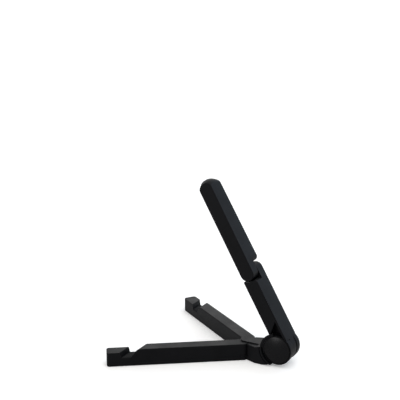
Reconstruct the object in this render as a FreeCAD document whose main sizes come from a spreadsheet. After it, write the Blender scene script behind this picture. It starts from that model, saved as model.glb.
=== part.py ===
import FreeCAD, Part
import math
import os
import re
import Sketcher

# A folding display stand. Two legs spread on the table, a hub joins them at the back, and an arm in
# two lengths rises from the hub and leans forward over the legs. A flat thing stands in a notch near
# the end of each leg and leans back on the tip of the arm.
# Millimetres and degrees. +Z is up, the stand faces -Y, and the origin is on the table under the
# middle of the open stand's outline.

SIZES = {
    # How the stand is set up
    "leg_spread": 35.0,          # each leg's angle from the closed position
    "arm_lean": 30.0,            # the arm's angle from upright, forward
    # Legs
    "leg_width": 13.6,
    "leg_height": 16.8,          # top of the legs above the table
    "leg_length": 131.0,         # from the pivot pin to the tip
    "leg_gap": 0.6,              # between the two legs when closed
    "leg_corner": 3.0,           # corner radius at the tip, seen from above
    "leg_edge": 0.9,             # rounding of the top edges
    "leg_wall": 2.0,
    "pin_reach": 38.7,           # from the arm's pivot forward to the legs' pins
    "pocket_gap": 0.9,           # between a leg's round end and the neck behind it
    "pocket_lip": 1.6,           # height of the closer lip above that gap
    # Notch near the leg's end, measured along Y from the leg's pin
    "seat_reach": 84.8,          # to the foot of the notch's rear wall
    "seat_length": 7.4,
    "seat_height": 9.6,          # top of the rubber seat above the table
    "seat_slant": 31.5,          # rear wall's angle from upright
    "seat_round": 3.0,           # rounding at the top of the rear wall
    "seat_thick": 1.2,           # rubber seat
    "seat_inset": 0.8,           # rubber seat inside the leg's sides
    "lip_height": 14.2,          # top of the front lip above the table
    "lip_slant": 12.0,
    # Hub
    "pivot_height": 17.2,        # arm's pivot above the table
    "cheek_radius": 14.6,
    "cheek_edge": 0.6,           # rounding of the cheeks' rims
    "cheek_web": 1.8,            # plastic under the bolt's head and the nut
    "collar_proud": 1.8,         # neck's sides outside the cheeks
    "collar_gap": 1.0,           # between the cheek's rim and the collar round it
    "collar_sink": 1.2,          # that gap, below the cheek's face
    "collar_width": 1.3,         # collar, between that gap and the ring groove
    "collar_end": 13.0,          # collar's upper end, from upright
    "collar_web": 0.5,           # web that closes the gap above the neck
    "web_end": 87.0,             # its lower end, from upright
    "web_lap": 0.5,              # web's root on the cheek's rim
    "groove_width": 1.2,
    "groove_depth": 1.2,
    "neck_width": 19.6,          # where the neck meets the legs
    "neck_taper": 22.0,          # from the pivot forward to where the neck narrows
    "neck_back": 5.0,            # from the pivot forward to where the neck ends
    "heel_length": 9.0,          # slope under the neck's rear end
    "heel_rise": 1.7,
    "ramp_length": 2.5,          # slope up to the neck's rear end
    "bridge_half": 6.2,          # half width of the plate over the legs' inner corners
    "bridge_nose": 36.6,         # from the pivot forward to the middle of its round nose
    "bridge_gap": 0.3,           # between it and the legs
    "bridge_thick": 0.7,
    "ledge_height": 4.2,         # top of the plate under the legs' rear ends
    "cap_radius": 13.4,
    "cap_gap": 0.4,              # round the cap, in its recess
    "cap_seat": 1.0,             # depth of the cap's recess
    "cap_rise": 1.8,             # height of the cap's dome
    # Arm
    "arm_width": 22.8,
    "arm_depth": 14.1,
    "arm_length": 175.2,         # from the pivot to the tip
    "arm_wall": 2.0,
    "arm_edge": 0.8,
    "tip_width": 20.4,
    "upper_edge": 1.0,           # rounding of the upper arm's edges, and round its tip
    "fold_gap": 0.4,             # between the folded arm and the legs
    "tongue_width": 8.4,         # the part of the arm between the cheeks
    "flank_front": 15.2,         # where the arm's sides end, at its front face
    "flank_back": 28.0,          # where they end, at its back face
    "flap_foot": 5.2,            # where the back wall ends beside the tongue
    "elbow_reach": 77.5,         # from the pivot to the elbow pin
    "elbow_gap": 0.8,            # between a rounded end and the shoulder it faces
    "elbow_lip": 2.0,            # front lip above the lower shoulder, which stops the elbow
    "elbow_round": 2.0,          # how far the lower shoulder's corner is taken back
    "shoulder_round": 4.0,       # rounding of the upper shoulder's corner
    # Rubber
    "foot_proud": 0.4,           # feet below the plastic
    "foot_sink": 0.6,            # feet inside the plastic
    "foot_width": 7.4,
    "foot_length": 20.0,
    "foot_corner": 1.6,
    "hub_foot_width": 14.0,
    "hub_foot_length": 12.0,
    "tip_pad_width": 13.0,
    "tip_pad_sweep": 56.0,       # angle that the pad covers round the tip
    "tip_pad_sink": 0.8,
    "tip_pad_proud": 0.3,
    # Pins, screws and washers
    "pin_radius": 2.0,           # bolt, leg screws and elbow bolt where they turn
    "thread_radius": 1.5,
    "leg_thread": 8.5,           # leg screw's thread above the washer
    "leg_head_radius": 3.0,
    "leg_head_thick": 1.6,
    "leg_head_sink": 2.2,        # counterbore under the ledge
    "bolt_head_radius": 3.8,
    "bolt_head_thick": 2.2,
    "nut_radius": 4.0,           # across the corners, halved
    "socket_radius": 1.3,        # hexagon sockets, across the corners, halved
    "socket_depth": 0.9,
    "washer_thick": 0.6,         # friction washers beside the tongue
    "washer_radius": 9.0,
    "leg_washer_thick": 0.5,
    "leg_washer_radius": 5.4,
    "elbow_washer_thick": 0.5,
    "elbow_washer_radius": 6.0,
    "elbow_head_radius": 3.3,
    "elbow_head_thick": 2.0,
    "elbow_head_sink": 2.6,
    "insert_radius": 2.6,
    "insert_length": 6.0,
    "cover_thick": 1.8,
    "boss_radius": 3.0,
    "boss_inset": 8.0,           # screw boss from the end of its chamber
    "screw_radius": 1.0,
    "screw_bite": 5.0,           # cover screw inside its boss
    "screw_head_radius": 2.0,
    "screw_head_thick": 0.9,
    # Clearances
    "swing_gap": 0.4,            # round ends and discs in their pockets
    "play": 0.05,                # turning pins in their bores, and faces that slide
    "seam": 0.1,                 # covers and caps in their recesses, screws in their holes
    "over_cut": 1.0,             # how far a cut runs past the surface
}

# Sizes that follow from the ones above
DERIVED = {
    "pin_x": "(leg_width + leg_gap) / 2",
    "pocket_radius": "leg_width / 2 + pocket_gap",
    "ledge_clear": "leg_width / 2 + swing_gap",
    "arm_front": "leg_height + fold_gap - pivot_height",
    "arm_middle": "arm_front + arm_depth / 2",
    "arm_back": "arm_front + arm_depth",
    "cheek_inner": "tongue_width / 2 + play + washer_thick",
    "cheek_outer": "arm_width / 2",
    "cheek_clear": "cheek_radius + swing_gap",
    "neck_outer": "cheek_outer + collar_proud",
    "neck_top": "leg_height + bridge_gap + bridge_thick",
    "collar_inner": "cheek_radius + collar_gap",
    "collar_outer": "collar_inner + collar_width",
    "bolt_seat": "cheek_inner + cheek_web",
    "cap_floor": "cheek_outer - cap_seat",
    "tip_front": "pin_reach + (leg_length - leg_corner) * cos(leg_spread)"
                 " + (leg_width / 2 - leg_corner) * sin(leg_spread) + leg_corner",
    "pivot_y": "(tip_front - cheek_radius) / 2",
    "leg_cover_top": "foot_proud + cover_thick",
    "leg_floor": "ledge_height + play + leg_washer_thick",
    "ledge_seat": "foot_proud + leg_head_sink",
    "seat_floor": "seat_height - seat_thick",
    "seat_brow": "seat_reach - (leg_height - seat_floor) * tan(seat_slant)",
    "seat_tangent": "seat_round * tan(45 - seat_slant / 2)",
    "chamber_start": "ledge_clear + leg_wall",
    "chamber_step": "seat_brow / cos(leg_spread) - (leg_width / 2 - leg_wall) * tan(leg_spread) - leg_wall",
    "chamber_end": "leg_length - leg_wall",
    "chamber_half": "leg_width / 2 - leg_wall",
    "lap_clear": "arm_depth / 2 + elbow_gap",
    "shoulder_low": "elbow_reach - lap_clear",
    "lip_inner": "arm_middle - sqrt(lap_clear ^ 2 - (lap_clear - elbow_lip) ^ 2)",
    "low_chamber_start": "flank_back + arm_wall",
    "low_chamber_end": "shoulder_low - arm_wall",
    "low_chamber_half": "cheek_outer - arm_wall",
    "ear_face": "elbow_washer_thick / 2 + play",
    "lap_face": "elbow_washer_thick / 2",
    "elbow_seat": "cheek_outer - elbow_head_sink",
    "up_length": "arm_length - elbow_reach",
    "up_chamber_start": "lap_clear + 2 * arm_wall",
    "up_chamber_end": "up_length - arm_depth - arm_wall",
    "up_chamber_half": "tip_width / 2 - arm_wall",
    "tip_height": "up_length - arm_depth / 2",
}

SIDES = {"left": "-1", "right": "1"}
PARTS = []

doc = FreeCAD.newDocument("RecordStand")
sheet = doc.addObject("Spreadsheet::Sheet", "Sizes")
for row, (alias, value) in enumerate(SIZES.items(), start=1):
    sheet.set(f"A{row}", alias)
    sheet.set(f"B{row}", str(value))
    sheet.setAlias(f"B{row}", alias)
doc.recompute()


# Formulas

def bound(text):
    # Turns a formula in the names above into one that reads the sheet's cells
    def swap(match):
        word = match.group(0)
        if word in DERIVED:
            return "(" + bound(DERIVED[word]) + ")"
        return "Sizes." + word if word in SIZES else word
    return re.sub(r"[a-z][a-z_]*", swap, text)


def number(text):
    return float(sheet.evalExpression(bound(text)))


# Sketches: a circle is (x, y, radius), an outline is a list of points (x, y), and a third entry in
# a point is the radius of an arc to the next one, clockwise where it has a minus sign

def fix_point(sketch, geometry, point, x, y):
    for kind, text in (("DistanceX", x), ("DistanceY", y)):
        index = sketch.addConstraint(Sketcher.Constraint(kind, -1, 1, geometry, point, number(text)))
        sketch.setExpression(f"Constraints[{index}]", bound(text))


def fix_radius(sketch, geometry, text):
    index = sketch.addConstraint(Sketcher.Constraint("Radius", geometry, number(text)))
    sketch.setExpression(f"Constraints[{index}]", bound(text))


def draw_circle(sketch, x, y, radius):
    centre = FreeCAD.Vector(number(x), number(y), 0)
    circle = sketch.addGeometry(Part.Circle(centre, FreeCAD.Vector(0, 0, 1), number(radius)))
    fix_point(sketch, circle, 3, x, y)
    fix_radius(sketch, circle, radius)


def arc_between(start, end, radius):
    # The shorter arc between two points, counter-clockwise from start to end
    chord = end - start
    rise = math.sqrt(max(radius ** 2 - (chord.Length / 2) ** 2, 0))
    centre = (start + end) / 2 + FreeCAD.Vector(-chord.y, chord.x, 0) * (rise / chord.Length)
    first, last = (math.atan2(p.y - centre.y, p.x - centre.x) for p in (start, end))
    circle = Part.Circle(centre, FreeCAD.Vector(0, 0, 1), radius)
    return Part.ArcOfCircle(circle, first, last if last > first else last + 2 * math.pi)


def draw_outline(sketch, points):
    spots = [FreeCAD.Vector(number(point[0]), number(point[1]), 0) for point in points]
    edges = []
    for index, point in enumerate(points):
        start, end = spots[index], spots[(index + 1) % len(spots)]
        if len(point) == 2:
            edges.append((sketch.addGeometry(Part.LineSegment(start, end)), 1, 2))
        elif point[2].startswith("-"):
            edges.append((sketch.addGeometry(arc_between(end, start, number(point[2][1:]))), 2, 1))
        else:
            edges.append((sketch.addGeometry(arc_between(start, end, number(point[2]))), 1, 2))
    for index, point in enumerate(points):
        geometry, first, last = edges[index]
        following, follows_first, _ = edges[(index + 1) % len(edges)]
        sketch.addConstraint(Sketcher.Constraint("Coincident", geometry, last, following, follows_first))
        fix_point(sketch, geometry, first, point[0], point[1])
        if len(point) == 3:
            fix_radius(sketch, geometry, point[2].lstrip("-"))


def draw(body, plane, level, loops, turn="0"):
    # The sketch lies on one of the body's planes, level along its normal: +Z, +X on YZ, -Y on XZ
    sketch = body.newObject("Sketcher::SketchObject", body.Name + "_sketch")
    origin = [item for item in body.Origin.OriginFeatures if item.Role == plane + "_Plane"]
    sketch.AttachmentSupport = [(origin[0], "")]
    sketch.MapMode = "FlatFace"
    upright = FreeCAD.Rotation(FreeCAD.Vector(0, 1, 0), 1)
    sketch.AttachmentOffset = FreeCAD.Placement(FreeCAD.Vector(), upright)
    sketch.setExpression("AttachmentOffset.Rotation.Angle", f"({bound(turn)}) * 1deg")
    sketch.setExpression("AttachmentOffset.Base.z", f"({bound(level)}) * 1mm")
    for loop in loops:
        if isinstance(loop, tuple):
            draw_circle(sketch, *loop)
        else:
            draw_outline(sketch, loop)
    return sketch


def box(left, right, low, high):
    return [(left, low), (right, low), (right, high), (left, high)]


def rounded_box(half, low, high, corner):
    return [(half, f"{low} + {corner}"), (half, f"{high} - {corner}", corner),
            (f"{half} - {corner}", high), (f"-({half}) + {corner}", high, corner),
            (f"-({half})", f"{high} - {corner}"), (f"-({half})", f"{low} + {corner}", corner),
            (f"-({half}) + {corner}", low), (f"{half} - {corner}", low, corner)]


def hexagon(x, y, radius):
    return [(f"{x} + {radius} * cos({60 * side})", f"{y} + {radius} * sin({60 * side})") for side in range(6)]


# Features

def part(label, placing, *where):
    body = doc.addObject("PartDesign::Body", label)
    body.Label = label
    placing(body, *where)
    PARTS.append(body)
    return body


def add(body, plane, low, high, *loops):
    profile = draw(body, plane, low, loops)
    pad = body.newObject("PartDesign::Pad", body.Name + "_pad")
    pad.Profile = profile
    pad.setExpression("Length", bound(f"({high}) - ({low})"))
    doc.recompute()


def check_cut(body, before):
    doc.recompute()
    if body.Shape.Volume >= before:
        raise RuntimeError(body.Label + ": a cut removes nothing")


def cut(body, plane, low, high, *loops):
    before = body.Shape.Volume
    profile = draw(body, plane, high, loops)
    pocket = body.newObject("PartDesign::Pocket", body.Name + "_pocket")
    pocket.Profile = profile
    pocket.setExpression("Length", bound(f"({high}) - ({low})"))
    check_cut(body, before)


def cut_across(body, turn, width, outline):
    # A cut both ways from the YZ plane, turned about Z
    before = body.Shape.Volume
    profile = draw(body, "YZ", "0", [outline], turn)
    pocket = body.newObject("PartDesign::Pocket", body.Name + "_notch")
    pocket.Profile = profile
    pocket.SideType = "Symmetric"
    pocket.setExpression("Length", bound(width))
    check_cut(body, before)


def spin(body, outline):
    # Turns an outline of radius and height about Z
    profile = draw(body, "XZ", "0", [outline])
    turned = body.newObject("PartDesign::Revolution", body.Name + "_turned")
    turned.Profile = profile
    turned.ReferenceAxis = (profile, ["V_Axis"])
    turned.Angle = 360
    doc.recompute()


def round_edges(body, radius, wanted):
    base = body.Tip
    names = [f"Edge{index}" for index, edge in enumerate(base.Shape.Edges, start=1) if wanted(edge)]
    if not names:
        raise RuntimeError(body.Label + ": no edge to round")
    fillet = body.newObject("PartDesign::Fillet", body.Name + "_round")
    fillet.Base = (base, names)
    fillet.setExpression("Radius", bound(radius))
    doc.recompute()


def spans(edge, **limits):
    # True where the edge's box has these values, such as z=(low, high)
    near = 1e-4
    frame = edge.BoundBox
    for axis, (low, high) in limits.items():
        least, most = getattr(frame, axis.upper() + "Min"), getattr(frame, axis.upper() + "Max")
        if least < low - near or most > high + near:
            return False
    return True


def at_corner(edge, half, front, back):
    # True at one of the four outer edges of a beam
    sides = [side for side in (-half, half) if spans(edge, x=(side, side))]
    return bool(sides) and any(spans(edge, y=(face, face)) for face in (front, back))


def along(edge, direction):
    # True for a straight edge along a direction
    if edge.Curve.TypeId != "Part::GeomLine":
        return False
    return abs(abs(edge.tangentAt(edge.FirstParameter).dot(FreeCAD.Vector(*direction))) - 1) < 1e-3


# Placing: each part is drawn in the frame of the member that carries it

def place(body, x, y, z, axis, angle):
    body.Placement = FreeCAD.Placement(FreeCAD.Vector(), FreeCAD.Rotation(FreeCAD.Vector(*axis), 1))
    body.setExpression("Placement.Rotation.Angle", f"({bound(angle)}) * 1deg")
    for name, text in (("x", x), ("y", y), ("z", z)):
        body.setExpression("Placement.Base." + name, f"({bound(text)}) * 1mm")


def on_hub(body):
    # From the table, under the arm's pivot
    place(body, "0", "pivot_y", "0", (0, 0, 1), "0")


def on_leg(body, sign):
    # From the table, under the leg's pin, with the closed leg along -Y
    place(body, f"{sign} * pin_x", "pivot_y - pin_reach", "0", (0, 0, 1), f"{sign} * leg_spread")


def on_cheek(body, sign):
    # From the floor of a cheek's recess, on the pivot's axis, with Z outwards
    place(body, f"{sign} * cap_floor", "pivot_y", "pivot_height", (0, 1, 0), f"{sign} * 90")


def on_lower_arm(body):
    # From the pivot, with the arm along Z and its back towards +Y
    place(body, "0", "pivot_y", "pivot_height", (1, 0, 0), "arm_lean")


def on_upper_arm(body):
    # From the elbow pin, in the same directions
    place(body, "0", "pivot_y + arm_middle * cos(arm_lean) - elbow_reach * sin(arm_lean)",
          "pivot_height + arm_middle * sin(arm_lean) + elbow_reach * cos(arm_lean)", (1, 0, 0), "arm_lean")


# Hub, with its ledge under the legs' rear ends and its two cheeks at the arm's pivot

def make_hub():
    hub = part("hub", on_hub)
    pivot = ("0", "pivot_height")
    pins = [(f"{sign} * pin_x", "-pin_reach") for sign in SIDES.values()]
    add(hub, "YZ", "-cheek_outer", "cheek_outer", (*pivot, "cheek_radius"))
    round_edges(hub, "cheek_edge", lambda edge: edge.Length > number("cheek_radius") * 4)
    neck_end = "pin_reach - pocket_radius"
    neck = [("neck_outer", "-neck_back"), ("-neck_outer", "-neck_back"), ("-neck_outer", "-neck_taper"),
            ("-neck_width / 2", f"-({neck_end})"), ("-pin_x", "-pin_reach"), ("pin_x", "-pin_reach"),
            ("neck_width / 2", f"-({neck_end})"), ("neck_outer", "-neck_taper")]
    add(hub, "XY", "foot_proud", "leg_height", neck)
    ramp = [("-neck_taper", "leg_height"), ("-neck_back", "leg_height"), ("-neck_back", "neck_top"),
            ("-neck_taper + ramp_length", "neck_top")]
    add(hub, "YZ", "-neck_outer", "neck_outer", ramp)
    heel = [("-neck_back - heel_length", "foot_proud"), ("-neck_back", "foot_proud"),
            ("-neck_back", "foot_proud + heel_rise")]
    cut(hub, "YZ", "-neck_outer", "neck_outer", heel)
    for pin in pins:
        add(hub, "XY", "foot_proud", "ledge_height", (*pin, "leg_width / 2"))
    for pin in pins:
        cut(hub, "XY", "ledge_height", "leg_height + over_cut", (*pin, "ledge_clear"))
        cut(hub, "XY", "ledge_height", "leg_height - pocket_lip", (*pin, "pocket_radius"))
    # Plate over the legs' inner corners
    riser = box("-bridge_half", "bridge_half", f"-({neck_end})", "-neck_back")
    add(hub, "XY", "leg_height", "neck_top", riser)
    plate = [("bridge_half", "-bridge_nose"), ("bridge_half", "-neck_back"), ("-bridge_half", "-neck_back"),
             ("-bridge_half", "-bridge_nose", "bridge_half"),
             ("0", "-bridge_nose - bridge_half", "bridge_half")]
    add(hub, "XY", "leg_height + bridge_gap", "neck_top", plate)
    # Collar round each cheek, up to the arm, between a gap and a ring groove
    collar = collar_band("collar_inner", "collar_outer", "100")
    collar_face = "cheek_outer + swing_gap"
    add(hub, "YZ", collar_face, "neck_outer", collar)
    add(hub, "YZ", "-neck_outer", f"-({collar_face})", collar)
    groove = [(*pivot, "collar_outer"), (*pivot, "collar_outer + groove_width")]
    gap = [(*pivot, "cheek_radius"), (*pivot, "collar_inner")]
    for ring, depth in ((groove, "neck_outer - groove_depth"), (gap, "cheek_outer - collar_sink")):
        cut(hub, "YZ", depth, "neck_outer + over_cut", *ring)
        cut(hub, "YZ", "-neck_outer - over_cut", f"-({depth})", *ring)
    cut(hub, "YZ", "cheek_outer", "neck_outer + over_cut", (*pivot, "collar_inner"))
    cut(hub, "YZ", "-neck_outer - over_cut", "-cheek_outer", (*pivot, "collar_inner"))
    web = collar_band("cheek_radius - web_lap", "collar_inner + collar_width / 2", "web_end")
    root = collar_band("cheek_radius - web_lap", "cheek_radius", "web_end")
    for band, inner in ((web, collar_face), (root, "cheek_outer - cheek_edge")):
        add(hub, "YZ", inner, f"{collar_face} + collar_web", band)
        add(hub, "YZ", f"-({collar_face} + collar_web)", f"-({inner})", band)
    # Slot for the tongue, bore for the bolt, and seats for its head, its nut and the caps
    cut(hub, "YZ", "-cheek_inner", "cheek_inner", (*pivot, "cheek_clear"))
    cut(hub, "YZ", "-cheek_outer", "cheek_outer", (*pivot, "pin_radius + play"))
    for radius, floor in (("nut_radius + swing_gap", "bolt_seat"), ("cap_radius + cap_gap", "cap_floor")):
        cut(hub, "YZ", floor, "cheek_outer", (*pivot, radius))
        cut(hub, "YZ", "-cheek_outer", f"-{floor}", (*pivot, radius))
    # Bores for the leg screws, from below, and the rubber foot's recess
    for pin in pins:
        cut(hub, "XY", "foot_proud", "ledge_height", (*pin, "pin_radius + play"))
        cut(hub, "XY", "foot_proud", "ledge_seat", (*pin, "leg_head_radius + swing_gap"))
    cut(hub, "XY", "foot_proud", "foot_proud + foot_sink", hub_foot_outline("seam"))


def collar_band(inner, outer, lower_end):
    # Part of a ring round the pivot, in front, between angles from upright
    corners = {}
    for end, angle in (("upper", "collar_end"), ("lower", lower_end)):
        for ring, radius in (("inner", inner), ("outer", outer)):
            rise = f"pivot_height + ({radius}) * cos({angle})"
            corners[ring, end] = (f"-({radius}) * sin({angle})", rise)
    return [(*corners["outer", "upper"], f"({outer})"), corners["outer", "lower"],
            (*corners["inner", "lower"], f"-({inner})"), corners["inner", "upper"]]


def hub_foot_outline(margin):
    front = f"-({neck_middle()} + hub_foot_length / 2 + {margin})"
    back = f"-({neck_middle()} - hub_foot_length / 2 - {margin})"
    return rounded_box(f"hub_foot_width / 2 + {margin}", front, back, "foot_corner")


def neck_middle():
    return "((pin_reach - pocket_radius + cheek_clear) / 2)"


def make_hub_foot():
    foot = part("hub_foot", on_hub)
    add(foot, "XY", "0", "foot_proud + foot_sink", hub_foot_outline("0"))


# Arm pivot: caps, bolt, nut and the friction washers beside the tongue

def make_cap(name, sign):
    cap = part(f"pivot_cap_{name}", on_cheek, sign)
    dome = "(cap_radius ^ 2 + cap_rise ^ 2) / (2 * cap_rise)"
    spin(cap, [("0", "0"), ("cap_radius", "0"), ("cap_radius", "cap_seat", dome),
               ("0", "cap_seat + cap_rise")])


def make_friction_washer(name, sign):
    washer = part(f"friction_washer_{name}", on_hub)
    low, high = ("cheek_inner - washer_thick", "cheek_inner")
    if sign == SIDES["left"]:
        low, high = (f"-({high})", f"-({low})")
    rings = [("0", "pivot_height", "washer_radius"), ("0", "pivot_height", "pin_radius + play")]
    add(washer, "YZ", low, high, *rings)


def make_pivot_bolt():
    bolt = part("pivot_bolt", on_hub)
    pivot = ("0", "pivot_height")
    head_end = "-bolt_seat - bolt_head_thick"
    add(bolt, "YZ", "-bolt_seat", "bolt_seat + bolt_head_thick", (*pivot, "pin_radius"))
    add(bolt, "YZ", head_end, "-bolt_seat", (*pivot, "bolt_head_radius"))
    cut(bolt, "YZ", head_end, f"{head_end} + socket_depth", hexagon(*pivot, "socket_radius"))
    nut = part("pivot_nut", on_hub)
    add(nut, "YZ", "bolt_seat", "bolt_seat + bolt_head_thick", hexagon(*pivot, "nut_radius"),
        (*pivot, "pin_radius + play"))


# Legs

def leg_screw_spots():
    return [("0", "-(chamber_start + boss_inset)"), ("0", "-(chamber_step - boss_inset)")]


def leg_foot_outline(margin):
    front = f"-(chamber_end - boss_radius + {margin})"
    back = f"-(chamber_end - boss_radius - foot_length - {margin})"
    return rounded_box(f"foot_width / 2 + {margin}", front, back, "foot_corner")


def make_leg(name, sign):
    leg = part(f"leg_{name}", on_leg, sign)
    half = "leg_width / 2"
    plan = [(half, "0", half), ("0", half, half), (f"-{half}", "0"),
            (f"-{half}", "-leg_length + leg_corner", "leg_corner"), (f"-{half} + leg_corner", "-leg_length"),
            (f"{half} - leg_corner", "-leg_length", "leg_corner"), (half, "-leg_length + leg_corner")]
    add(leg, "XY", "foot_proud", "leg_height", plan)
    top = number("leg_height")
    round_edges(leg, "leg_edge", lambda edge: spans(edge, z=(top, top)))
    # The notch lies square across the open stand, so it is turned back by the spread
    lip_foot = "seat_reach + seat_length"
    past_tip = "-leg_length - leg_width"
    notch = [("-seat_brow + seat_tangent", "leg_height + over_cut"),
             ("-seat_brow + seat_tangent", "leg_height", "seat_round"),
             ("-seat_brow - seat_tangent * sin(seat_slant)", "leg_height - seat_tangent * cos(seat_slant)"),
             ("-seat_reach", "seat_floor"), (f"-({lip_foot})", "seat_floor"),
             (f"-({lip_foot} + (lip_height - seat_floor) * tan(lip_slant))", "lip_height"),
             (past_tip, "lip_height"), (past_tip, "leg_height + over_cut")]
    cut_across(leg, f"-({sign}) * leg_spread", "2 * leg_length", notch)
    # Hollow from below, lower under the notch, with bosses for the cover's screws
    under = "foot_proud - over_cut"
    chamber = [("-chamber_start", under), ("-chamber_start", "leg_height - leg_wall"),
               ("-chamber_step", "leg_height - leg_wall"), ("-chamber_step", "seat_floor - leg_wall"),
               ("-chamber_end", "seat_floor - leg_wall"), ("-chamber_end", under)]
    cut(leg, "YZ", "-chamber_half", "chamber_half", chamber)
    spots = leg_screw_spots()
    add(leg, "XY", "leg_cover_top", "leg_height - leg_wall", *[(*spot, "boss_radius") for spot in spots])
    cut(leg, "XY", "leg_cover_top", "leg_cover_top + screw_bite + seam",
        *[(*spot, "screw_radius + play") for spot in spots])
    # Room for the hub's ledge, and the bore for the pivot screw's thread
    cut(leg, "XY", under, "leg_floor", ("0", "0", "ledge_clear"))
    cut(leg, "XY", "leg_floor", "leg_floor + leg_thread + seam", ("0", "0", "thread_radius + play"))


def make_leg_cover(name, sign):
    cover = part(f"leg_cover_{name}", on_leg, sign)
    half = "chamber_half - seam"
    plate = box(f"-({half})", half, "-chamber_end + seam", "-chamber_start - seam")
    add(cover, "XY", "foot_proud", "leg_cover_top", plate)
    spots = leg_screw_spots()
    cut(cover, "XY", "foot_proud", "leg_cover_top", *[(*spot, "screw_radius + seam") for spot in spots])
    cut(cover, "XY", "foot_proud", "foot_proud + screw_head_thick",
        *[(*spot, "screw_head_radius + seam") for spot in spots])
    cut(cover, "XY", "foot_proud", "foot_proud + foot_sink", leg_foot_outline("seam"))
    screws = part(f"leg_cover_screws_{name}", on_leg, sign)
    add(screws, "XY", "foot_proud", "foot_proud + screw_head_thick",
        *[(*spot, "screw_head_radius") for spot in spots])
    add(screws, "XY", "foot_proud + screw_head_thick", "leg_cover_top + screw_bite",
        *[(*spot, "screw_radius") for spot in spots])


def make_leg_rubber(name, sign):
    foot = part(f"leg_foot_{name}", on_leg, sign)
    add(foot, "XY", "0", "foot_proud + foot_sink", leg_foot_outline("0"))
    # The seat follows the notch, so its ends slant across the leg
    seat = part(f"leg_seat_{name}", on_leg, sign)
    corners = []
    for side, reach in (("1", "seat_reach + seam"), ("-1", "seat_reach + seam"),
                        ("-1", "seat_reach + seat_length - seam"), ("1", "seat_reach + seat_length - seam")):
        across = f"{side} * (leg_width / 2 - seat_inset)"
        corners.append((across, f"(-({reach}) - {sign} * {across} * sin(leg_spread)) / cos(leg_spread)"))
    add(seat, "XY", "seat_floor", "seat_height", corners)


def make_leg_pivot(name, sign):
    screw = part(f"leg_pivot_screw_{name}", on_leg, sign)
    head_top = "ledge_seat - play"
    head_end = f"{head_top} - leg_head_thick"
    add(screw, "XY", head_end, head_top, ("0", "0", "leg_head_radius"))
    add(screw, "XY", head_top, "leg_floor", ("0", "0", "pin_radius"))
    add(screw, "XY", "leg_floor", "leg_floor + leg_thread", ("0", "0", "thread_radius"))
    cut(screw, "XY", head_end, f"{head_end} + socket_depth", hexagon("0", "0", "socket_radius"))
    washer = part(f"leg_pivot_washer_{name}", on_leg, sign)
    add(washer, "XY", "ledge_height + play", "leg_floor", ("0", "0", "leg_washer_radius"),
        ("0", "0", "pin_radius + play"))


# Arm covers lie in the front face, over a chamber, on two screw bosses

def make_chamber(body, half, low, high, front, floor, spots):
    cut(body, "XZ", f"-({floor})", f"-({front})", box(f"-({half})", half, low, high))
    boss_face = f"-({front}) - cover_thick"
    add(body, "XZ", f"-({floor})", boss_face, *[(*spot, "boss_radius") for spot in spots])
    cut(body, "XZ", f"{boss_face} - screw_bite - seam", boss_face,
        *[(*spot, "screw_radius + play") for spot in spots])


def make_arm_cover(name, placing, half, low, high, front, spots):
    cover = part(f"{name}_cover", placing)
    plate = box(f"-({half}) + seam", f"{half} - seam", f"{low} + seam", f"{high} - seam")
    face, back = (f"-({front})", f"-({front}) - cover_thick")
    add(cover, "XZ", back, face, plate)
    cut(cover, "XZ", back, face, *[(*spot, "screw_radius + seam") for spot in spots])
    cut(cover, "XZ", f"{face} - screw_head_thick", face,
        *[(*spot, "screw_head_radius + seam") for spot in spots])
    screws = part(f"{name}_cover_screws", placing)
    add(screws, "XZ", f"{face} - screw_head_thick", face, *[(*spot, "screw_head_radius") for spot in spots])
    add(screws, "XZ", f"{back} - screw_bite", f"{face} - screw_head_thick",
        *[(*spot, "screw_radius") for spot in spots])


# Lower arm: tongue between the cheeks, hollow beam, and the elbow's ear on the left half

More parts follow.
